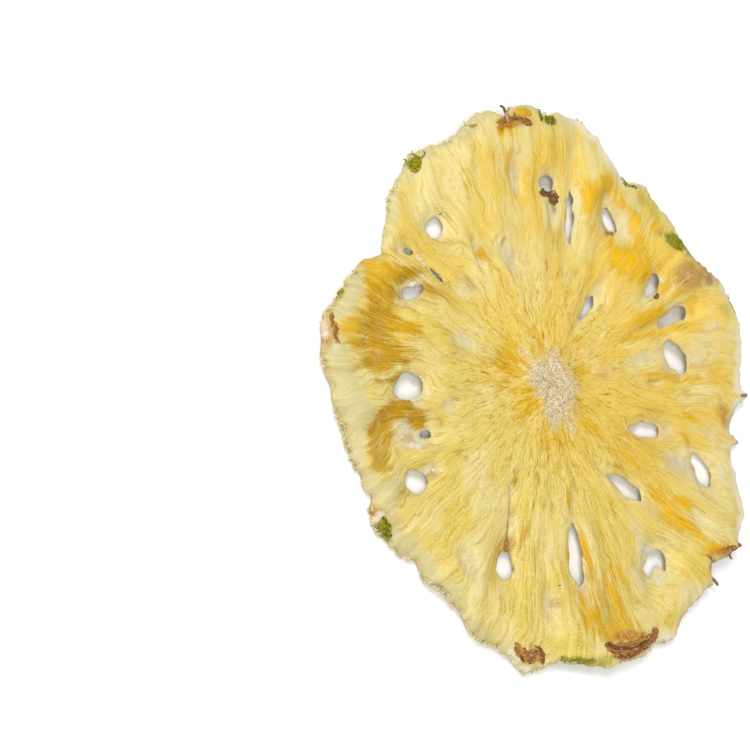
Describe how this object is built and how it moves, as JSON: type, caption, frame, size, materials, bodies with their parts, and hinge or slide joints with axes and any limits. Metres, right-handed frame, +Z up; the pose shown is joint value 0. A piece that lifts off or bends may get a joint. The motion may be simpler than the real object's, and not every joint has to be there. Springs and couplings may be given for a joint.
{
  "type": "dried pineapple ring",
  "caption": "Thin wavy round slice of dried pineapple with its pale core, radial fibres, torn seed chambers and an uneven rim with the woody remains of eyes.",
  "frame": {"origin": "on the floor under the middle of the core, on the flat spot that the slice rests on", "axes": "+Z up out of the cut face that shows, +X and +Y in the plane of the slice, the slice lying flat"},
  "size_m": [0.0895, 0.0942, 0.0055],
  "materials": {
    "dried_flesh": "dried fruit flesh, slightly translucent, satin on the fibres"
  },
  "bodies": {
    "root": {"pineapple_ring": "dried_flesh"}
  },
  "joints": []
}
